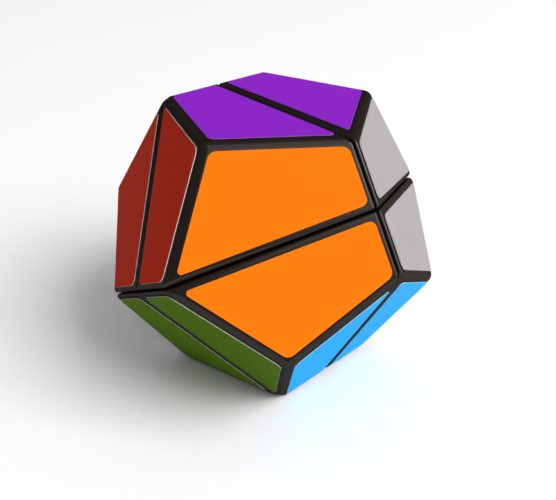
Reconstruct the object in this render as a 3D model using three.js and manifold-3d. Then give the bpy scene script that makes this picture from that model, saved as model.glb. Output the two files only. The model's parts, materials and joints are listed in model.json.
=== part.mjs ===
// A twisty puzzle in the shape of a dodecahedron. Three flat cuts at right angles through its centre divide
// it into eight corners, so that any half turns against the other half, as on a two-layer cube. A ball-shaped
// mechanism inside holds the corners: a core with three screws and springs, three sprung centres, nine edges,
// and a foot on each corner.
//
// Millimetres, +Z up. The puzzle stands on one face, with the origin on that surface, under its centre.
import * as THREE from "three";
import { ConvexGeometry } from "three/addons/geometries/ConvexGeometry.js";
import { mergeVertices } from "three/addons/utils/BufferGeometryUtils.js";
import Module from "manifold-3d";

// ---- Driving dimensions ----
const ACROSS_FLATS = 64; // from a tile to the tile opposite it
const TILE_THICKNESS = 0.18;
const GLUE = 0.05; // the adhesive between a tile and its corner
const CUT_GAP = 0.4; // between two corners, all along each cut

const TILE_MARGIN_EDGE = 1.67; // from a tile's side to an edge inside one corner
const TILE_MARGIN_CUT = 1.58; // to a cut that crosses the face
const TILE_MARGIN_SEAM = 1.8; // to an edge of the dodecahedron that a cut runs along
const TILE_SETBACK = 1.35; // how far a tile's round corner starts from the sharp one

const EDGE_RADIUS = 2.1; // the rounding of an edge inside one corner
const CUT_RADIUS = 1.35; // the rounding where a cut crosses a face
const SEAM_RADIUS = 0.5; // the rounding where a cut runs along an edge of the dodecahedron, which is sharper
const ROUNDING_STEPS = 3;
const CAP_WALL = 1.8;
const BASE_WALL = 1.4;
const BASE_FLOOR = 1.6;
const SHELL_FIT = 0.1; // between a corner's cap and its base
const POST_RADIUS = 2;
const POST_FIT = 0.2;
const BOSS_RADIUS = 3.5;
const BOSS_HEIGHT = 4.6;

const BALL_RADIUS = 20.5; // the mechanism ball that the eight corners close round
const FOOT_RADIUS = 15; // feet lie inside this sphere, and what holds them down lies outside it
const WELL_RADIUS = 9; // the space round the core starts inside this sphere
const OUTER_TRACK = 6.6; // half the width of a centre outside FOOT_RADIUS
const INNER_TRACK = 4.4; // half its width inside FOOT_RADIUS
const RUN = 0.2; // how far each sliding face stands back from its track
const BALL_FACET = 0.3; // the same for a hollow sphere, with room for its flat facets

const HEART_RADIUS = 6.4; // the core's own ball
const ARM_RADIUS = 2.9;
const ARM_END = 8.5; // where the three screwed arms end
const ANCHOR_ARM_RADIUS = 2.4;

const SCREW_RADIUS = 1;
const SCREW_FIT = 0.15;
const SCREW_TIP = 3.6; // how far the screws' tips stay from the centre
const HEAD_RADIUS = 2.6;
const HEAD_HEIGHT = 1.5;
const HEAD_SEAT = 17; // where a centre's screw head starts
const ANCHOR_HEAD_RADIUS = 1.9;
const SPRING_RADIUS = 2.3; // to the middle of the wire
const WIRE_RADIUS = 0.3;
const SPRING_TURNS = 5;
const POCKET_RADIUS = 3.1; // the well in a centre that holds its spring
const POCKET_FLOOR = 11.2;

// ---- Proportions of the dodecahedron ----
const PHI = (1 + Math.sqrt(5)) / 2;
const FACE_REACH = (PHI * PHI) / Math.hypot(1, PHI); // centre to face, where a half edge measures 1 / PHI
const CENTRE_HEIGHT = ACROSS_FLATS / 2;
const UNIT = CENTRE_HEIGHT / FACE_REACH;
const SHELL_REACH = CENTRE_HEIGHT - TILE_THICKNESS - GLUE;
const CAVITY_RADIUS = BALL_RADIUS + BALL_FACET;
const FLOOR_RADIUS = CAVITY_RADIUS + BASE_FLOOR;
const FAR = 60; // further out than anything in the puzzle
const PAST_CUTS = -6; // a hollow that starts this far beyond the centre is open towards the cuts
const ROD_SIDES = 12;
const FACET = 5.2;
const THIRD = (2 * Math.PI) / 3;

const X = new THREE.Vector3(1, 0, 0);
const Y = new THREE.Vector3(0, 1, 0);
const Z = new THREE.Vector3(0, 0, 1);
const DIAGONAL = new THREE.Vector3(1, 1, 1).normalize();

// The three faces of the corner where x, y and z are positive. A third of a turn about its diagonal swaps
// them round.
const FACES = [
  new THREE.Vector3(1, PHI, 0).normalize(),
  new THREE.Vector3(0, 1, PHI).normalize(),
  new THREE.Vector3(PHI, 0, 1).normalize(),
];
// The cut beside each face's edge with the next one, as the direction out of the corner.
const CUTS = [X, Y, Z].map((axis) => axis.clone().negate());

// ---- Solids ----
const wasm = await Module();
wasm.setup();

// A closed geometry as a solid that can be joined and cut.
function solid(geometry) {
  const bare = new THREE.BufferGeometry();
  bare.setAttribute("position", geometry.getAttribute("position"));
  bare.setIndex(geometry.index);
  const merged = mergeVertices(bare, 1e-4);
  return new wasm.Manifold(
    new wasm.Mesh({
      numProp: 3,
      vertProperties: merged.getAttribute("position").array,
      triVerts: new Uint32Array(merged.index.array),
    }),
  );
}

// A solid as a geometry that a mesh can show.
function shown(made) {
  const mesh = made.getMesh();
  const geometry = new THREE.BufferGeometry();
  geometry.setAttribute("position", new THREE.BufferAttribute(mesh.vertProperties, 3));
  geometry.setIndex(new THREE.BufferAttribute(mesh.triVerts, 1));
  geometry.computeVertexNormals();
  return geometry;
}

const join = (...made) => made.reduce((all, one) => all.add(one));

function box(low, high) {
  const size = high.map((value, i) => value - low[i]);
  const middle = high.map((value, i) => (value + low[i]) / 2);
  return solid(new THREE.BoxGeometry(...size).translate(...middle));
}

// A ball of flat facets that are all about one size.
function ball(radius) {
  const detail = Math.max(2, Math.round(radius / FACET) - 1);
  return solid(new THREE.IcosahedronGeometry(radius, detail));
}

// Turns a geometry made along +Y to lie along another direction from the centre.
function along(geometry, direction) {
  return geometry.applyQuaternion(new THREE.Quaternion().setFromUnitVectors(Y, direction));
}

function rod(radius, from, to, direction) {
  const cylinder = new THREE.CylinderGeometry(radius, radius, to - from, ROD_SIDES);
  return solid(along(cylinder.translate(0, (from + to) / 2, 0), direction));
}

// ---- The outer form of a corner ----

// The point that lies on three planes, each given by its normal and its distance from the centre.
function meeting(...planes) {
  const [[a, p], [b, q], [c, r]] = planes;
  const bc = b.clone().cross(c);
  const ca = c.clone().cross(a);
  const ab = a.clone().cross(b);
  const volume = a.dot(bc);
  return bc.multiplyScalar(p).add(ca.multiplyScalar(q)).add(ab.multiplyScalar(r)).divideScalar(volume);
}

// The eight corner points between three faces and three cuts.
function blockPoints(faceReach, cutReach) {
  const points = [new THREE.Vector3(cutReach, cutReach, cutReach)];
  points.push(meeting(...FACES.map((face) => [face, faceReach])));
  FACES.forEach((face, i) => {
    const cut = [CUTS[i], -cutReach];
    points.push(meeting([face, faceReach], [FACES[(i + 1) % 3], faceReach], cut));
    points.push(meeting([face, faceReach], cut, [CUTS[(i + 2) % 3], -cutReach]));
  });
  return points;
}

function sharpBlock(faceReach, cutReach) {
  return solid(new ConvexGeometry(blockPoints(faceReach, cutReach)));
}

// Directions from one to another, in equal steps.
function fan(from, to, steps) {
  const turn = new THREE.Quaternion().setFromUnitVectors(from, to);
  return Array.from({ length: steps + 1 }, (_, i) =>
    from.clone().applyQuaternion(new THREE.Quaternion().slerp(turn, i / steps)),
  );
}

// Directions spread over the triangle between three others.
function spread(a, b, c, steps) {
  const found = [];
  for (let i = 0; i <= steps; i++) {
    for (let j = 0; j <= steps - i; j++) {
      const mixed = a.clone().multiplyScalar(i).addScaledVector(b, j).addScaledVector(c, steps - i - j);
      found.push(mixed.normalize());
    }
  }
  return found;
}

// A corner's outer form: three faces and three cuts, with round edges, as the hull of points on the
// roundings. Each cut ends in a seam on one face and crosses the next, so its rounding grows from the one to
// the other round their edge.
function roundBlock(faceReach, cutReach) {
  const points = [new THREE.Vector3(cutReach, cutReach, cutReach)];
  const tipCentre = meeting(...FACES.map((face) => [face, faceReach - EDGE_RADIUS]));
  const stepFrom = (start, direction, distance) => start.clone().addScaledVector(direction, distance);
  for (const direction of spread(...FACES, ROUNDING_STEPS)) {
    points.push(stepFrom(tipCentre, direction, EDGE_RADIUS));
  }
  FACES.forEach((face, i) => {
    const next = FACES[(i + 1) % 3];
    const cut = CUTS[i];
    const other = CUTS[(i + 2) % 3];
    const edge = next.clone().cross(face).normalize();
    fan(face, next, ROUNDING_STEPS).forEach((direction, step) => {
      const radius = SEAM_RADIUS + ((CUT_RADIUS - SEAM_RADIUS) * step) / ROUNDING_STEPS;
      const start = stepFrom(tipCentre, direction, EDGE_RADIUS - radius);
      const toCut = (-(cutReach + radius) - start.dot(cut)) / edge.dot(cut);
      const centre = stepFrom(start, edge, toCut);
      for (const way of fan(direction, cut, ROUNDING_STEPS)) {
        points.push(stepFrom(centre, way, radius));
      }
    });
    const inCuts = -(cutReach + SEAM_RADIUS);
    const centre = meeting([face, faceReach - SEAM_RADIUS], [cut, inCuts], [other, inCuts]);
    for (const direction of spread(face, cut, other, ROUNDING_STEPS)) {
      points.push(stepFrom(centre, direction, SEAM_RADIUS));
    }
  });
  return solid(new ConvexGeometry(points));
}

// The outer shell of a corner: three faces of even thickness, and a post inside that plugs into the base.
function cornerCap() {
  const outside = roundBlock(SHELL_REACH, CUT_GAP / 2);
  const inside = sharpBlock(SHELL_REACH - CAP_WALL, PAST_CUTS);
  const post = rod(POST_RADIUS, FLOOR_RADIUS + HEAD_HEIGHT + 2 * POST_FIT, FAR, DIAGONAL);
  return outside.subtract(inside).add(post.intersect(outside));
}

// ---- The foot and base of a corner ----

// The neck that passes between the edges, and the wider foot that they hold down.
function foot() {
  const neck = OUTER_TRACK + RUN;
  const toe = INNER_TRACK + RUN;
  const stem = box([neck, neck, neck], [FAR, FAR, FAR]).intersect(ball(CAVITY_RADIUS + BASE_FLOOR / 2));
  const spur = box([toe, toe, toe], [FAR, FAR, FAR]).intersect(ball(FOOT_RADIUS - RUN));
  return join(stem, spur).subtract(ball(WELL_RADIUS + BALL_FACET));
}

// The inner half of a corner: a tray with three flat walls that slide on the neighbouring corners, a round
// floor over the mechanism, a socket for the cap's post, and the foot. The anchored corner's base is drilled
// for the core's screw.
function cornerBase(anchored) {
  const outside = sharpBlock(SHELL_REACH - CAP_WALL - SHELL_FIT, CUT_GAP / 2);
  const hollow = sharpBlock(FAR, CUT_GAP / 2 + BASE_WALL);
  const walls = outside.subtract(hollow);
  const floor = outside.intersect(ball(FLOOR_RADIUS));
  const boss = rod(BOSS_RADIUS, CAVITY_RADIUS + BASE_FLOOR / 2, FLOOR_RADIUS + BOSS_HEIGHT, DIAGONAL);
  const tray = join(walls, floor, boss).subtract(ball(CAVITY_RADIUS));
  const socket = rod(POST_RADIUS + POST_FIT, FLOOR_RADIUS, FAR, DIAGONAL);
  const whole = tray.add(foot()).subtract(socket);
  return anchored ? whole.subtract(rod(SCREW_RADIUS + SCREW_FIT, 0, FAR, DIAGONAL)) : whole;
}

// ---- Tiles ----

// Half a pentagon with its sides set in and its corners round, drawn about the middle of the face: +X runs to
// the middle of the edge where the cut ends, and the cut runs along X.
function tileOutline() {
  const apothem = UNIT / (PHI * Math.tan(Math.PI / 5));
  const sides = [
    { angle: -Math.PI / 2, reach: -TILE_MARGIN_CUT },
    { angle: 0, reach: apothem - TILE_MARGIN_SEAM },
    { angle: (2 * Math.PI) / 5, reach: apothem - TILE_MARGIN_EDGE },
    { angle: (4 * Math.PI) / 5, reach: apothem - TILE_MARGIN_EDGE },
  ];
  const normal = (side) => new THREE.Vector2(Math.cos(side.angle), Math.sin(side.angle));
  const corners = sides.map((side, i) => {
    const next = sides[(i + 1) % sides.length];
    const [a, b] = [normal(side), normal(next)];
    const cross = a.x * b.y - a.y * b.x;
    return new THREE.Vector2(
      (side.reach * b.y - next.reach * a.y) / cross,
      (next.reach * a.x - side.reach * b.x) / cross,
    );
  });
  const outline = new THREE.Shape();
  corners.forEach((corner, i) => {
    const before = corners[(i + corners.length - 1) % corners.length].clone().sub(corner).normalize();
    const after = corners[(i + 1) % corners.length].clone().sub(corner).normalize();
    const halfAngle = Math.acos(before.dot(after)) / 2;
    const radius = TILE_SETBACK * Math.tan(halfAngle);
    const centre = before.clone().add(after).normalize();
    centre.multiplyScalar(TILE_SETBACK / Math.cos(halfAngle)).add(corner);
    const toward = (way) => corner.clone().addScaledVector(way, TILE_SETBACK).sub(centre).angle();
    outline.absarc(centre.x, centre.y, radius, toward(before), toward(after), false);
  });
  return outline;
}

function tile() {
  return new THREE.ExtrudeGeometry(tileOutline(), {
    depth: TILE_THICKNESS,
    bevelEnabled: false,
    curveSegments: 2,
  });
}

// Where a tile lies on the first of the corner's faces.
function tilePlace() {
  const face = FACES[0];
  const acrossFace = new THREE.Vector3(-PHI, 1, 0).normalize();
  const place = new THREE.Matrix4().makeBasis(acrossFace, face.clone().cross(acrossFace), face);
  return place.setPosition(face.clone().multiplyScalar(SHELL_REACH + GLUE));
}

// ---- The mechanism ----

// A centre turns with its half of the puzzle on its screw, and its square top holds four edges down.
function centrePiece() {
  const wide = OUTER_TRACK - RUN;
  const narrow = INNER_TRACK - RUN;
  const top = box([OUTER_TRACK + RUN, -wide, -wide], [FAR, wide, wide]);
  const stem = box([INNER_TRACK + RUN, -narrow, -narrow], [FAR, narrow, narrow]);
  return join(top.subtract(ball(FOOT_RADIUS + BALL_FACET)), stem)
    .intersect(ball(BALL_RADIUS - RUN))
    .subtract(ball(WELL_RADIUS + BALL_FACET))
    .subtract(rod(POCKET_RADIUS, POCKET_FLOOR, FAR, X))
    .subtract(rod(SCREW_RADIUS + SCREW_FIT, 0, FAR, X));
}

// An edge lies between two centres. Its outer part holds two corners' feet down, and its own foot lies under
// the centres.
function hiddenEdge() {
  const neck = OUTER_TRACK + RUN;
  const toe = INNER_TRACK + RUN;
  const wide = OUTER_TRACK - RUN;
  const narrow = INNER_TRACK - RUN;
  const outer = box([neck, neck, -wide], [FAR, FAR, wide]).subtract(ball(FOOT_RADIUS + BALL_FACET));
  const web = box([neck, neck, -narrow], [FAR, FAR, narrow]);
  const body = outer.add(web).intersect(ball(BALL_RADIUS - RUN));
  const spur = box([toe, toe, -narrow], [FAR, FAR, narrow]).intersect(ball(FOOT_RADIUS - RUN));
  return join(body, spur).subtract(ball(WELL_RADIUS + BALL_FACET));
}

// The core: a small ball with six arms. Three arms take screws. The other three carry a quarter of the
// mechanism ball that never turns, with a window for the neck of the anchored corner, and a seventh arm takes
// that corner's screw.
function core() {
  const edge = OUTER_TRACK - RUN;
  const window = box([-FAR, -FAR, -FAR], [-edge, -edge, -edge]);
  const dome = box([-FAR, -FAR, -FAR], [edge, edge, edge])
    .intersect(ball(BALL_RADIUS - RUN))
    .subtract(ball(FOOT_RADIUS + BALL_FACET))
    .subtract(window);
  const behind = [X, Y, Z].map((axis) => rod(ARM_RADIUS, 0, FOOT_RADIUS + 1, axis.clone().negate()));
  const ahead = [X, Y, Z].map((axis) => rod(ARM_RADIUS, 0, ARM_END, axis));
  const anchorWay = DIAGONAL.clone().negate();
  const anchorArm = rod(ANCHOR_ARM_RADIUS, 0, ARM_END, anchorWay);
  const holes = [X, Y, Z, anchorWay].map((way) => rod(SCREW_RADIUS + SCREW_FIT, SCREW_TIP - 0.4, FAR, way));
  const whole = join(ball(HEART_RADIUS), dome, ...behind, ...ahead, anchorArm);
  return holes.reduce((left, hole) => left.subtract(hole), whole);
}

// A screw along a direction, with its head between two distances from the centre and a cross in the head.
function screw(headStart, headRadius, direction) {
  const headEnd = headStart + HEAD_HEIGHT;
  const profile = [
    [0, SCREW_TIP],
    [SCREW_RADIUS * 0.6, SCREW_TIP],
    [SCREW_RADIUS, SCREW_TIP + SCREW_RADIUS],
    [SCREW_RADIUS, headStart],
    [headRadius, headStart],
    [headRadius, headEnd - HEAD_HEIGHT * 0.4],
    [headRadius * 0.75, headEnd],
    [0, headEnd],
  ].map(([x, y]) => new THREE.Vector2(x, y));
  const turned = solid(along(new THREE.LatheGeometry(profile, ROD_SIDES), direction));
  const slot = headRadius * 0.55;
  const half = headRadius * 0.13;
  const bottom = headEnd - HEAD_HEIGHT * 0.6;
  const bars = [
    [slot, half],
    [half, slot],
  ].map(([x, z]) => {
    const bar = new THREE.BoxGeometry(2 * x, FAR, 2 * z).translate(0, bottom + FAR / 2, 0);
    return solid(along(bar, direction));
  });
  return bars.reduce((left, bar) => left.subtract(bar), turned);
}

// The middle line of a coil spring round X.
class Coil extends THREE.Curve {
  constructor(start, end) {
    super();
    this.start = start;
    this.end = end;
  }
  getPoint(t, target = new THREE.Vector3()) {
    const angle = 2 * Math.PI * SPRING_TURNS * t;
    const x = this.start + (this.end - this.start) * t;
    return target.set(x, SPRING_RADIUS * Math.cos(angle), SPRING_RADIUS * Math.sin(angle));
  }
}

function spring() {
  const room = WIRE_RADIUS + 0.1;
  const wire = new THREE.Shape().absarc(0, 0, WIRE_RADIUS, 0, 2 * Math.PI, false);
  return new THREE.ExtrudeGeometry(wire, {
    steps: SPRING_TURNS * 10,
    curveSegments: 3,
    bevelEnabled: false,
    extrudePath: new Coil(POCKET_FLOOR + room, HEAD_SEAT - room),
  });
}

// ---- Assembly ----

function plastic(color, roughness) {
  return new THREE.MeshStandardMaterial({ color, roughness, metalness: 0 });
}

const BLACK = plastic(0x1c1714, 0.45);
const INNER = plastic(0x2b2b2e, 0.5);
const CORE_WHITE = plastic(0xd9d6cc, 0.5);
const STEEL = new THREE.MeshStandardMaterial({ color: 0xb9bcc0, roughness: 0.3, metalness: 1 });

// The turning axes: x points left and forward, y forward and up, z up. Each name stands for one side of a
// cut.
const SIDES = { x: ["right", "left"], y: ["back", "front"], z: ["lower", "upper"] };

// The colour of each face, by the two halves that it belongs to wholly. The third cut divides it.
const FACE_COLOURS = {
  left_front: ["orange", 0xff7a0c],
  front_upper: ["purple", 0x8a22c8],
  left_upper: ["red", 0xb52316],
  right_front: ["grey", 0xbdb9ba],
  left_lower: ["green", 0x3f7a14],
  front_lower: ["sky", 0x33a8f5],
  right_back: ["yellow", 0xf6d40e],
  back_lower: ["pink", 0xf07fb4],
  right_lower: ["cream", 0xf0dfa8],
  left_back: ["white", 0xf1f0ec],
  right_upper: ["lime", 0x9bd42a],
  back_upper: ["blue", 0x1240a8],
};
const TILE_MATERIALS = Object.fromEntries(
  Object.values(FACE_COLOURS).map(([name, color]) => [name, plastic(color, 0.35)]),
);

function mesh(name, geometry, material) {
  const made = new THREE.Mesh(geometry, material);
  made.name = name;
  return made;
}

const sideOf = (axis, sign) => SIDES[axis][sign > 0 ? 1 : 0];

// One corner: its cap, its base and a tile on each of its three faces. Signs say which side of each cut it is
// on.
function corner(signs, shapes) {
  const [x, y, z] = [sideOf("x", signs[0]), sideOf("y", signs[1]), sideOf("z", signs[2])];
  const group = new THREE.Group();
  const anchored = signs.every((sign) => sign < 0);
  group.scale.set(...signs);
  group.add(mesh(`cap_${x}_${y}_${z}`, shapes.cap, BLACK));
  group.add(mesh(`base_${x}_${y}_${z}`, anchored ? shapes.anchoredBase : shapes.base, BLACK));
  const faces = [
    [`${x}_${y}`, z],
    [`${y}_${z}`, x],
    [`${x}_${z}`, y],
  ];
  faces.forEach(([face, half], i) => {
    const [colour] = FACE_COLOURS[face];
    const turned = new THREE.Group();
    turned.quaternion.setFromAxisAngle(DIAGONAL, i * THIRD);
    const made = mesh(`tile_${colour}_${half}`, shapes.tile, TILE_MATERIALS[colour]);
    tilePlace().decompose(made.position, made.quaternion, made.scale);
    turned.add(made);
    group.add(turned);
  });
  return group;
}

// The nine edges that move: each lies in one or two of the three halves that turn.
function movingEdges(shape) {
  const axes = { x: X, y: Y, z: Z };
  const made = [];
  for (const [a, b] of ["xy", "yz", "xz"]) {
    for (const [signA, signB] of [[1, 1], [1, -1], [-1, 1]]) {
      const toA = axes[a].clone().multiplyScalar(signA);
      const toB = axes[b].clone().multiplyScalar(signB);
      const edge = mesh(`edge_${sideOf(a, signA)}_${sideOf(b, signB)}`, shape, INNER);
      const basis = new THREE.Matrix4().makeBasis(toA, toB, toA.clone().cross(toB));
      edge.quaternion.setFromRotationMatrix(basis);
      made.push(edge);
    }
  }
  return made;
}

// The three sprung centres, each with its screw and spring, along the turning axes.
function screwedCentres(centreShape, screwShape, springShape) {
  return Object.entries({ left: X, front: Y, upper: Z }).map(([side, axis]) => {
    const group = new THREE.Group();
    group.quaternion.setFromUnitVectors(X, axis);
    group.add(mesh(`centre_${side}`, centreShape, INNER));
    group.add(mesh(`screw_${side}`, screwShape, STEEL));
    group.add(mesh(`spring_${side}`, springShape, STEEL));
    return group;
  });
}

// The turning axes' frame, placed so that the front_upper face is on top and the left_front face looks along
// -Y.
function standingFrame() {
  const up = FACES[1].clone();
  const forward = FACES[0].clone().addScaledVector(up, -FACES[0].dot(up)).normalize();
  const right = up.clone().cross(forward);
  const frame = new THREE.Group();
  const turn = new THREE.Matrix4().makeBasis(right, forward.negate(), up).transpose();
  frame.quaternion.setFromRotationMatrix(turn);
  frame.position.z = CENTRE_HEIGHT;
  return frame;
}

const shapes = {
  cap: shown(cornerCap()),
  base: shown(cornerBase(false)),
  anchoredBase: shown(cornerBase(true)),
  tile: tile(),
};
const puzzle = standingFrame();
for (const x of [1, -1]) {
  for (const y of [1, -1]) {
    for (const z of [1, -1]) {
      puzzle.add(corner([x, y, z], shapes));
    }
  }
}
puzzle.add(mesh("core", shown(core()), CORE_WHITE));
puzzle.add(...movingEdges(shown(hiddenEdge())));
puzzle.add(...screwedCentres(shown(centrePiece()), shown(screw(HEAD_SEAT, HEAD_RADIUS, X)), spring()));
const anchorSeat = FLOOR_RADIUS + POST_FIT / 2;
const anchorWay = DIAGONAL.clone().negate();
puzzle.add(mesh("anchor_screw", shown(screw(anchorSeat, ANCHOR_HEAD_RADIUS, anchorWay)), STEEL));

const part = new THREE.Group();
part.add(puzzle);

export default part;
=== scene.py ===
import json
import math
from itertools import product

import bmesh
import bpy
from mathutils import Matrix, Quaternion, Vector


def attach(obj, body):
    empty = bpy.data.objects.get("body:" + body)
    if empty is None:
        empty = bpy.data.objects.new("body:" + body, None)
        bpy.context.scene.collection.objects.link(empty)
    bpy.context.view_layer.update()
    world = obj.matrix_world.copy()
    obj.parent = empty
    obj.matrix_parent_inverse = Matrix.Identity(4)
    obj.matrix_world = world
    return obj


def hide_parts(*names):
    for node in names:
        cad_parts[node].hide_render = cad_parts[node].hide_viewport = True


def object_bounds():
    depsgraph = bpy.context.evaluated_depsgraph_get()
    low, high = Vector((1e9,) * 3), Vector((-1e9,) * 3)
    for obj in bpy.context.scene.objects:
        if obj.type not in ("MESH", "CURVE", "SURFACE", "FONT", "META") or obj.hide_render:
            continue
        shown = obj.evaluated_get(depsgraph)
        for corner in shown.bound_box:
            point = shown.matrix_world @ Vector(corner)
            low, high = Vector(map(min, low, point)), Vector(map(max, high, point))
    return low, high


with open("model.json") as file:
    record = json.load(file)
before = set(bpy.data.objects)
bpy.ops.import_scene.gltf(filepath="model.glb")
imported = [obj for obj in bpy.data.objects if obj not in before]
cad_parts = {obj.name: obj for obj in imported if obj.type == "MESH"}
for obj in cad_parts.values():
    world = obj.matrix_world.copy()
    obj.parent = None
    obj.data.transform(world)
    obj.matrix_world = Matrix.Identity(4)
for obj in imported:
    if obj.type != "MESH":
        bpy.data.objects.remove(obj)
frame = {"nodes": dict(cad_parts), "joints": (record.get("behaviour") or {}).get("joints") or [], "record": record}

CAD_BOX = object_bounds()

# ---- Places, from the frame ----
MM = 0.001
ACROSS_FLATS = (CAD_BOX[1].z - CAD_BOX[0].z) / MM
CENTRE = Vector((0, 0, CAD_BOX[1].z / 2))
JOINT_AXES = {joint["name"]: Vector(joint["axis"]) for joint in frame["joints"]}
LEFT = JOINT_AXES["turn_left"]
FRONT = JOINT_AXES["turn_front"]
UPPER = JOINT_AXES["turn_upper"]
BODIES = frame["record"]["behaviour"]["bodies"]
BODY_OF = {node: body for body, nodes in BODIES.items() for node in nodes}
SLOT_OF = {part["node"]: part["material_slot"] for part in frame["record"]["subparts"]}

# ---- The dodecahedron, with half the side of the cube that shares eight of its corners as its unit ----
PHI = (1 + math.sqrt(5)) / 2
FACE_REACH = ACROSS_FLATS / 2
UNIT = FACE_REACH * math.hypot(1, PHI) / PHI**2
FACE_APOTHEM = UNIT / (PHI * math.tan(math.pi / 5))

# ---- Driving dimensions, in millimetres ----
TILE_THICKNESS = 0.18
TILE_BEVEL = 0.04
GLUE = 0.05
CUT_GAP = 0.4
# From a tile to the edges of the dodecahedron, to the cut beside it, and to the edge where that cut ends.
TILE_MARGIN_EDGE = 1.67
TILE_MARGIN_CUT = 1.58
TILE_MARGIN_SEAM = 1.8
# The round corners of a tile start this far from where its sharp corners would be.
TILE_SETBACK = 1.35
# Between two faces, where a cut crosses a face, and where a cut runs out along an edge.
EDGE_RADIUS = 2.1
CUT_RADIUS = 1.35
SEAM_RADIUS = 0.5
CAP_WALL = 1.8
SHELL_REACH = FACE_REACH - TILE_THICKNESS - GLUE
# A hollow that starts this far beyond the centre is open towards the cuts.
PAST_CUTS = -6
# Points closer than this are one point.
SAME_POINT = 1e-5

# ---- How finely the roundings are made, in steps ----
EDGE_STEPS = 12
CUT_STEPS = 8
TILE_CORNER_STEPS = 12
BEVEL_STEPS = 3

# ---- Surfaces ----
# Neighbouring faces that differ by less than the first angle are one flat face, and edges sharper than the
# second aren't smoothed. Both are in degrees.
FLAT_ANGLE = 0.05
SHARP_ANGLE = 35
# A ridge is fully worn where 1 minus the cosine of its turn from the flat faces reaches this.
FULL_WEAR = 0.15
# The lightness of a tile's darker and paler clouds, and the sRGB step that its sides pale towards.
TILE_DEEP = 0.985
TILE_PALE = 1.01
SIDE_WHITE = 240

# ---- Stage and camera, in metres and degrees ----
FLOOR_REACH = 4
FLOOR_DROP = 0.0001
FLOOR_CELLS = 8
BACKDROP_SIDES = 96
WORLD_STRENGTH = 0.22
CARD_DISTANCE = 5
CAMERA_AZIMUTH = -4.575
CAMERA_ELEVATION = 31.44
CAMERA_ROLL = 0.008
# In puzzle heights.
CAMERA_DISTANCE = 2.2908
AIM_RIGHT = 0.0234
AIM_DOWN = 0.0709
# In millimetres.
CAMERA_LENS = 39.15
SENSOR_WIDTH = 36

# ---- Directions in a corner's own axes ----
X = Vector((1, 0, 0))
Y = Vector((0, 1, 0))
Z = Vector((0, 0, 1))
DIAGONAL = Vector((1, 1, 1)).normalized()
FACES = [Vector(way).normalized() for way in ((1, PHI, 0), (0, 1, PHI), (PHI, 0, 1))]
CUTS = [-X, -Y, -Z]


# ---- Mesh helpers ----
def to_mesh(name, bm):
    mesh = bpy.data.meshes.new(name)
    bm.to_mesh(mesh)
    bm.free()
    return mesh


def add_object(name, data):
    made = bpy.data.objects.new(name, data)
    bpy.context.scene.collection.objects.link(made)
    return made


def hull(name, points):
    """The convex hull of points, with its flat faces whole."""
    bm = bmesh.new()
    for point in points:
        bm.verts.new(point)
    bmesh.ops.remove_doubles(bm, verts=bm.verts[:], dist=SAME_POINT)
    made = bmesh.ops.convex_hull(bm, input=bm.verts[:])
    left_over = made["geom_interior"] + made["geom_unused"]
    loose = {item for item in left_over if isinstance(item, bmesh.types.BMVert)}
    bmesh.ops.delete(bm, geom=list(loose), context="VERTS")
    flat = math.radians(FLAT_ANGLE)
    bmesh.ops.dissolve_limit(bm, angle_limit=flat, verts=bm.verts[:], edges=bm.edges[:])
    bmesh.ops.recalc_face_normals(bm, faces=bm.faces[:])
    return to_mesh(name, bm)


def cut_away(solid, cutter):
    """A mesh with the space of another one taken out of it."""
    target = add_object(solid.name, solid)
    other = add_object(cutter.name, cutter)
    modifier = target.modifiers.new("cut_away", "BOOLEAN")
    modifier.operation = "DIFFERENCE"
    modifier.object = other
    modifier.solver = "EXACT"
    bpy.context.view_layer.update()
    evaluated = target.evaluated_get(bpy.context.evaluated_depsgraph_get())
    made = bpy.data.meshes.new_from_object(evaluated)
    bpy.data.objects.remove(target)
    bpy.data.objects.remove(other)
    return made


# ---- The outer form of a corner ----
def meeting(*planes):
    """The point that lies on three planes, each given by its normal and its distance from the centre."""
    (a, p), (b, q), (c, r) = planes
    return (p * b.cross(c) + q * c.cross(a) + r * a.cross(b)) / a.dot(b.cross(c))


def block_points(face_reach, cut_reach):
    """The sharp corners of the solid between three faces and three cuts."""
    points = [Vector((cut_reach,) * 3), meeting(*[(face, face_reach) for face in FACES])]
    for i, face in enumerate(FACES):
        cut = (CUTS[i], -cut_reach)
        points.append(meeting((face, face_reach), (FACES[(i + 1) % 3], face_reach), cut))
        points.append(meeting((face, face_reach), cut, (CUTS[(i + 2) % 3], -cut_reach)))
    return points


def fan(start, end, steps):
    """Directions from one to another, in equal steps."""
    turn = start.rotation_difference(end)
    return [Quaternion().slerp(turn, i / steps) @ start for i in range(steps + 1)]


def spread(a, b, c, steps):
    """Directions spread over the triangle between three others, in equal steps along each of its sides."""
    found = [a.copy()]
    for i in range(1, steps + 1):
        found.extend(fan(fan(a, b, steps)[i], fan(a, c, steps)[i], i))
    return found


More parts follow.
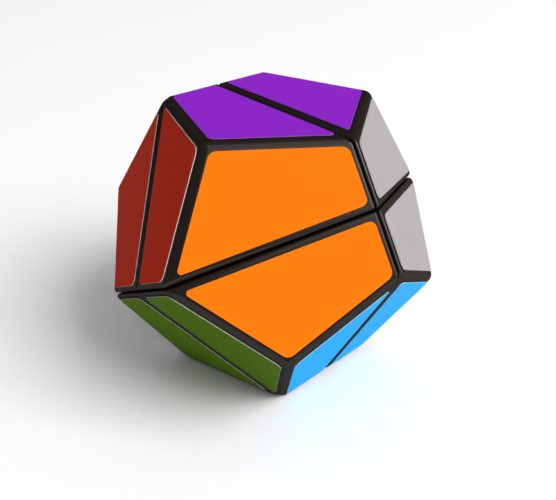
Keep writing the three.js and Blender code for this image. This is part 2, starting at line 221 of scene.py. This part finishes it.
def round_block_points(face_reach, cut_reach):
    """Points on the surface of a corner with three faces, three cuts and round edges.

    An edge between a face and a cut has CUT_RADIUS where the cut crosses the face, and SEAM_RADIUS where the
    cut runs out along an edge of the dodecahedron.
    """
    points = [Vector((cut_reach,) * 3)]
    tip = meeting(*[(face, face_reach - EDGE_RADIUS) for face in FACES])
    points.extend(tip + way * EDGE_RADIUS for way in spread(*FACES, EDGE_STEPS))
    for i, face in enumerate(FACES):
        following = FACES[(i + 1) % 3]
        cut = CUTS[i]
        other = CUTS[(i + 2) % 3]
        edge = following.cross(face).normalized()
        for step, way in enumerate(fan(face, following, EDGE_STEPS)):
            radius = SEAM_RADIUS + (CUT_RADIUS - SEAM_RADIUS) * step / EDGE_STEPS
            start = tip + way * (EDGE_RADIUS - radius)
            centre = start - edge * ((cut_reach + radius + start.dot(cut)) / edge.dot(cut))
            points.extend(centre + turned * radius for turned in fan(way, cut, CUT_STEPS))
        inside = -(cut_reach + SEAM_RADIUS)
        centre = meeting((face, face_reach - SEAM_RADIUS), (cut, inside), (other, inside))
        points.extend(centre + way * SEAM_RADIUS for way in spread(face, cut, other, CUT_STEPS))
    return points


def cap_mesh():
    """The outer shell of a corner, open towards the cuts."""
    outside = hull("cap", round_block_points(SHELL_REACH, CUT_GAP / 2))
    inside = hull("cap_inside", block_points(SHELL_REACH - CAP_WALL, PAST_CUTS))
    return cut_away(outside, inside)


# ---- Tiles ----
def tile_outline():
    """Half a pentagon with its sides set in and its corners round, about the middle of the face.

    +X runs to the middle of the edge where the cut ends, and the cut runs along X.
    """
    sides = [
        (-math.pi / 2, -TILE_MARGIN_CUT),
        (0, FACE_APOTHEM - TILE_MARGIN_SEAM),
        (2 * math.pi / 5, FACE_APOTHEM - TILE_MARGIN_EDGE),
        (4 * math.pi / 5, FACE_APOTHEM - TILE_MARGIN_EDGE),
    ]
    lines = [(Vector((math.cos(angle), math.sin(angle))), reach) for angle, reach in sides]
    corners = []
    for i, (a, p) in enumerate(lines):
        b, q = lines[(i + 1) % len(lines)]
        cross = a.x * b.y - a.y * b.x
        corners.append(Vector(((p * b.y - q * a.y) / cross, (q * a.x - p * b.x) / cross)))
    outline = []
    for i, corner in enumerate(corners):
        before = (corners[i - 1] - corner).normalized()
        after = (corners[(i + 1) % len(corners)] - corner).normalized()
        half_angle = before.angle(after) / 2
        radius = TILE_SETBACK * math.tan(half_angle)
        centre = corner + (before + after).normalized() * (TILE_SETBACK / math.cos(half_angle))
        start = corner + before * TILE_SETBACK - centre
        sweep = math.pi - 2 * half_angle
        for step in range(TILE_CORNER_STEPS + 1):
            angle = math.atan2(start.y, start.x) + sweep * step / TILE_CORNER_STEPS
            outline.append(centre + radius * Vector((math.cos(angle), math.sin(angle))))
    return outline


def tile_mesh():
    """A tile with a fine bevel round its top. Its side walls below the bevel take the second material."""
    outline = tile_outline()
    count = len(outline)
    normals = []
    for i in range(count):
        along = (outline[(i + 1) % count] - outline[i - 1]).normalized()
        normals.append(Vector((along.y, -along.x)))
    rings = [(0, 0)]
    for step in range(BEVEL_STEPS + 1):
        angle = math.pi / 2 * step / BEVEL_STEPS
        inset = TILE_BEVEL * (1 - math.cos(angle))
        rings.append((inset, TILE_THICKNESS - TILE_BEVEL * (1 - math.sin(angle))))
    bm = bmesh.new()
    loops = []
    for inset, height in rings:
        ring = [point - normal * inset for point, normal in zip(outline, normals)]
        loops.append([bm.verts.new((point.x, point.y, height)) for point in ring])
    bm.faces.new(reversed(loops[0]))
    bm.faces.new(loops[-1])
    for level, (lower, upper) in enumerate(zip(loops, loops[1:])):
        for i in range(count):
            following = (i + 1) % count
            side = bm.faces.new((lower[i], lower[following], upper[following], upper[i]))
            side.material_index = 1 if level == 0 else 0
    return to_mesh("tile", bm)


def tile_place(turns):
    """Where a tile lies in its corner: on the first face, then turned about the diagonal."""
    face = FACES[0]
    across = Vector((-PHI, 1, 0)).normalized()
    place = Matrix((across, face.cross(across), face)).transposed().to_4x4()
    place.translation = face * (SHELL_REACH + GLUE)
    return Matrix.Rotation(turns * math.tau / 3, 4, DIAGONAL) @ place


# ---- Material helpers. Noise scales are per metre, and bump depths are in metres. ----
def nodes_of(name):
    material = bpy.data.materials.new(name)
    material.use_nodes = True
    return material, material.node_tree, material.node_tree.nodes["Principled BSDF"]


def node(tree, kind, inputs=None, **settings):
    """A new node. An input's value is either a number or colour, or the socket that it is linked from."""
    made = tree.nodes.new(kind)
    for key, value in settings.items():
        setattr(made, key, value)
    for key, value in (inputs or {}).items():
        if isinstance(value, bpy.types.NodeSocket):
            tree.links.new(value, made.inputs[key])
        else:
            made.inputs[key].default_value = value
    return made


def linear(red, green, blue):
    """A colour given in sRGB steps of 0 to 255, as the shader's own linear colour."""
    steps = [value / 255 for value in (red, green, blue)]
    return (*[v / 12.92 if v <= 0.04045 else ((v + 0.055) / 1.055) ** 2.4 for v in steps], 1)


def times(colour, factor):
    return [min(255, value * factor) for value in colour]


def noise(tree, scale, detail):
    place = node(tree, "ShaderNodeTexCoord").outputs["Object"]
    made = node(tree, "ShaderNodeTexNoise", {"Vector": place, "Scale": scale, "Detail": detail})
    return made.outputs["Fac"]


def mixed(tree, factor, first, second):
    made = node(tree, "ShaderNodeMix", {"Factor": factor, "A": first, "B": second}, data_type="RGBA")
    return made.outputs["Result"]


def clouds(tree, socket, scale, detail, first, second):
    """Drifts a colour input between two colours."""
    tree.links.new(mixed(tree, noise(tree, scale, detail), first, second), socket)


def roughen(tree, shader, scale, detail, low, high):
    """Drifts the roughness between two values."""
    value = noise(tree, scale, detail)
    made = node(tree, "ShaderNodeMapRange", {"Value": value, "To Min": low, "To Max": high})
    tree.links.new(made.outputs["Result"], shader.inputs["Roughness"])


def grain(tree, shader, scale, detail, strength, depth):
    """Adds a fine bump."""
    height = noise(tree, scale, detail)
    made = node(tree, "ShaderNodeBump", {"Height": height, "Strength": strength, "Distance": depth})
    tree.links.new(made.outputs["Normal"], shader.inputs["Normal"])


# ---- Materials ----
def black_plastic():
    """Satin black plastic, a little greyer along its ridges, where hands wear it."""
    material, tree, shader = nodes_of("black_plastic")
    ridge = node(tree, "ShaderNodeAttribute", attribute_name="ridge").outputs["Fac"]
    scuffs = noise(tree, scale=900, detail=3)
    worn = node(tree, "ShaderNodeMath", {0: ridge, 1: scuffs}, operation="MULTIPLY").outputs[0]
    plain = mixed(tree, noise(tree, scale=160, detail=4), linear(22, 14, 9), linear(26, 18, 12))
    tree.links.new(mixed(tree, worn, plain, linear(40, 32, 26)), shader.inputs["Base Color"])
    shader.inputs["Specular IOR Level"].default_value = 0.0
    shader.inputs["Coat Weight"].default_value = 0.07
    shader.inputs["Coat IOR"].default_value = 4
    shader.inputs["Coat Roughness"].default_value = 0.2
    roughen(tree, shader, scale=400, detail=5, low=0.34, high=0.46)
    grain(tree, shader, scale=2600, detail=2, strength=0.08, depth=0.0002)
    return material


def moulded_plastic(name, colour):
    """Matt plastic as it leaves its mould: a faint cloudiness, and a fine grain."""
    material, tree, shader = nodes_of(name)
    deep = linear(*times(colour, 0.93))
    clouds(tree, shader.inputs["Base Color"], scale=180, detail=5, first=deep, second=linear(*colour))
    roughen(tree, shader, scale=500, detail=4, low=0.45, high=0.62)
    shader.inputs["Specular IOR Level"].default_value = 0.3
    grain(tree, shader, scale=2800, detail=2, strength=0.12, depth=0.0002)
    return material


def plated_steel():
    material, tree, shader = nodes_of("steel")
    dull = linear(158, 160, 163)
    bright = linear(200, 202, 205)
    clouds(tree, shader.inputs["Base Color"], scale=420, detail=5, first=dull, second=bright)
    shader.inputs["Metallic"].default_value = 1
    roughen(tree, shader, scale=1400, detail=4, low=0.22, high=0.38)
    grain(tree, shader, scale=3600, detail=3, strength=0.08, depth=0.0001)
    return material


def tile_material(name, colour):
    """The matt face of a tile."""
    material, tree, shader = nodes_of(name)
    deep = linear(*times(colour, TILE_DEEP))
    pale = linear(*times(colour, TILE_PALE))
    clouds(tree, shader.inputs["Base Color"], scale=220, detail=5, first=deep, second=pale)
    roughen(tree, shader, scale=500, detail=4, low=0.42, high=0.52)
    shader.inputs["Specular IOR Level"].default_value = 0.01
    grain(tree, shader, scale=3200, detail=2, strength=0.05, depth=0.0001)
    return material


def tile_side_material(name, colour, paleness):
    """The cut edge of a tile, which is paler than its face."""
    material, tree, shader = nodes_of(name + "_side")
    pale = [value + (SIDE_WHITE - value) * paleness for value in colour]
    deep = linear(*times(pale, 0.9))
    clouds(tree, shader.inputs["Base Color"], scale=1500, detail=3, first=linear(*pale), second=deep)
    shader.inputs["Roughness"].default_value = 0.55
    return material


def floor_material():
    material, tree, shader = nodes_of("floor")
    white = (251, 250, 251)
    deep = linear(*times(white, 0.99))
    clouds(tree, shader.inputs["Base Color"], scale=30, detail=3, first=linear(*white), second=deep)
    shader.inputs["Roughness"].default_value = 0.8
    return material


def backdrop_material():
    """Gives off its own pale light, so that no lamp changes it."""
    material, tree, shader = nodes_of("backdrop")
    pale = linear(250, 250, 250)
    deep = linear(244, 244, 244)
    shader.inputs["Base Color"].default_value = (0, 0, 0, 1)
    clouds(tree, shader.inputs["Emission Color"], scale=0.2, detail=3, first=pale, second=deep)
    shader.inputs["Emission Strength"].default_value = 1
    return material


# Each face lies wholly in two halves of the puzzle, which name it here. It has the name of its colour, the
# colour in sRGB steps, and how far the sides of its tiles pale, from 0 to 1.
FACE_COLOURS = {
    "left_front": ("orange", (255, 120, 14), 0.6),
    "front_upper": ("purple", (136, 36, 193), 0.35),
    "left_upper": ("red", (189, 40, 5), 1),
    "right_front": ("grey", (156, 150, 151), 0.75),
    "left_lower": ("green", (73, 106, 5), 1),
    "front_lower": ("sky", (22, 166, 240), 0.8),
    "right_back": ("yellow", (240, 203, 14), 0.75),
    "back_lower": ("pink", (225, 112, 165), 0.75),
    "right_lower": ("cream", (222, 204, 152), 0.75),
    "left_back": ("white", (236, 235, 232), 0.75),
    "right_upper": ("lime", (136, 188, 32), 0.75),
    "back_upper": ("blue", (16, 58, 152), 0.75),
}
TILE_MATERIALS = {
    name: [tile_material("tile_" + name, colour), tile_side_material("tile_" + name, colour, paleness)]
    for name, colour, paleness in FACE_COLOURS.values()
}
BLACK = black_plastic()
# The looks of the pieces that stay as the frame has them, by their material slots.
FRAME_LOOKS = {
    "black_plastic": BLACK,
    "inner_plastic": moulded_plastic("inner_plastic", (43, 43, 46)),
    "core_plastic": moulded_plastic("core_plastic", (217, 214, 204)),
    "steel": plated_steel(),
}


# ---- Pieces ----
SIDES = [("right", "left"), ("back", "front"), ("lower", "upper")]


def side_names(signs):
    return [names[sign > 0] for names, sign in zip(SIDES, signs)]


def corner_matrix(signs):
    """From a corner's own axes, in millimetres, to the frame, in metres."""
    axes = [axis * sign for axis, sign in zip((LEFT, FRONT, UPPER), signs)]
    return Matrix.Translation(CENTRE) @ Matrix(axes).transposed().to_4x4() @ Matrix.Scale(MM, 4)


def add_piece(node_name, mesh, matrix, materials):
    """A piece in place of a node, made from a mesh in millimetres. A mirrored piece gets its normals back."""
    placed = mesh.copy()
    placed.transform(matrix)
    if matrix.determinant() < 0:
        placed.flip_normals()
    placed.name = node_name + "_skin"
    for material in materials:
        placed.materials.append(material)
    piece = add_object(placed.name, placed)
    placed.shade_smooth()
    placed.set_sharp_from_angle(angle=math.radians(SHARP_ANGLE))
    modifier = piece.modifiers.new("Normals", "WEIGHTED_NORMAL")
    modifier.keep_sharp = True
    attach(piece, BODY_OF[node_name])
    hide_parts(node_name)


def mark_ridges(mesh):
    """Stores how far each point's normal turns away from the flat faces, for wear along the rounded edges."""
    values = []
    for vertex in mesh.vertices:
        nearest = max(vertex.normal.dot(flat) for flat in FACES + CUTS)
        values.append(min(1, (1 - nearest) / FULL_WEAR))
    attribute = mesh.attributes.new("ridge", "FLOAT", "POINT")
    attribute.data.foreach_set("value", values)


def make_corners():
    cap = cap_mesh()
    mark_ridges(cap)
    tile = tile_mesh()
    for signs in product((1, -1), repeat=3):
        x, y, z = side_names(signs)
        matrix = corner_matrix(signs)
        add_piece(f"cap_{x}_{y}_{z}", cap, matrix, [BLACK])
        for turns, (face, half) in enumerate(((f"{x}_{y}", z), (f"{y}_{z}", x), (f"{x}_{z}", y))):
            colour = FACE_COLOURS[face][0]
            add_piece(f"tile_{colour}_{half}", tile, matrix @ tile_place(turns), TILE_MATERIALS[colour])


def dress_frame():
    """Gives the bases and the mechanism, which stay as the frame has them, their looks."""
    for name, slot in SLOT_OF.items():
        if not name.startswith(("cap", "tile")):
            frame["nodes"][name].material_slots[0].material = FRAME_LOOKS[slot]


# ---- Stage ----
def make_floor():
    bm = bmesh.new()
    bmesh.ops.create_grid(bm, x_segments=FLOOR_CELLS, y_segments=FLOOR_CELLS, size=FLOOR_REACH)
    floor = add_object("floor", to_mesh("floor", bm))
    floor.location.z = -FLOOR_DROP
    floor.data.materials.append(floor_material())


def make_backdrop():
    """A pale wall round the floor, which only the camera sees."""
    bm = bmesh.new()
    reach = FLOOR_REACH
    bmesh.ops.create_cone(bm, segments=BACKDROP_SIDES, radius1=reach, radius2=reach, depth=2 * reach)
    backdrop = add_object("backdrop", to_mesh("backdrop", bm))
    backdrop.data.materials.append(backdrop_material())
    backdrop.visible_diffuse = False
    backdrop.visible_glossy = False
    backdrop.visible_shadow = False


def bearing(azimuth, elevation):
    """A direction from the centre. Azimuth 0 is the camera's side, -Y, and 90 is +X."""
    a = math.radians(azimuth)
    e = math.radians(elevation)
    return Vector((math.sin(a) * math.cos(e), -math.cos(a) * math.cos(e), math.sin(e)))


def area_light(name, azimuth, elevation, distance, width, height, radiance):
    """A soft box that faces the puzzle."""
    data = bpy.data.lights.new(name, "AREA")
    data.shape = "RECTANGLE"
    data.size = width
    data.size_y = height
    data.energy = radiance * math.pi * width * height
    light = add_object(name, data)
    way = bearing(azimuth, elevation)
    light.location = CENTRE + way * distance
    light.rotation_mode = "QUATERNION"
    light.rotation_quaternion = (-way).to_track_quat("-Z", "Y")
    return light


def card(name, azimuth, elevation, width, height, radiance):
    """A light that shows only as a reflection along the rounded edges."""
    made = area_light(name, azimuth, elevation, CARD_DISTANCE, width, height, radiance)
    made.visible_diffuse = False


def make_world():
    world = bpy.data.worlds.new("studio")
    bpy.context.scene.world = world
    world.use_nodes = True
    background = world.node_tree.nodes["Background"]
    background.inputs["Color"].default_value = (1, 1, 1, 1)
    background.inputs["Strength"].default_value = WORLD_STRENGTH


def make_lights():
    """A key light and a broad fill from the front right, and cards for the highlights."""
    fill = area_light("fill", azimuth=60, elevation=60, distance=6, width=9, height=9, radiance=0.55)
    fill.visible_glossy = False
    area_light("key", azimuth=60, elevation=43.5, distance=7, width=4.1, height=4.1, radiance=9.66)
    card("right_card", azimuth=46, elevation=24, width=4.6, height=1.6, radiance=4.6)
    card("front_card", azimuth=15, elevation=30, width=2.8, height=1.6, radiance=1.2)
    card("high_card", azimuth=12, elevation=56, width=3, height=5, radiance=1.2)


# ---- Camera ----
def make_camera():
    data = bpy.data.cameras.new("camera")
    data.lens = CAMERA_LENS
    data.sensor_width = SENSOR_WIDTH
    camera = add_object("camera", data)
    height = ACROSS_FLATS * MM
    back = bearing(CAMERA_AZIMUTH, CAMERA_ELEVATION)
    camera.location = CENTRE + back * CAMERA_DISTANCE * height
    right = Z.cross(back).normalized()
    up = back.cross(right)
    aim = CENTRE + (right * AIM_RIGHT - up * AIM_DOWN) * height
    camera.rotation_mode = "QUATERNION"
    look = (aim - camera.location).to_track_quat("-Z", "Y")
    camera.rotation_quaternion = look @ Quaternion(Z, math.radians(CAMERA_ROLL))
    bpy.context.scene.camera = camera


make_camera()
make_corners()
dress_frame()
make_floor()
make_backdrop()
make_world()
make_lights()
bpy.context.scene.view_settings.view_transform = "Standard"
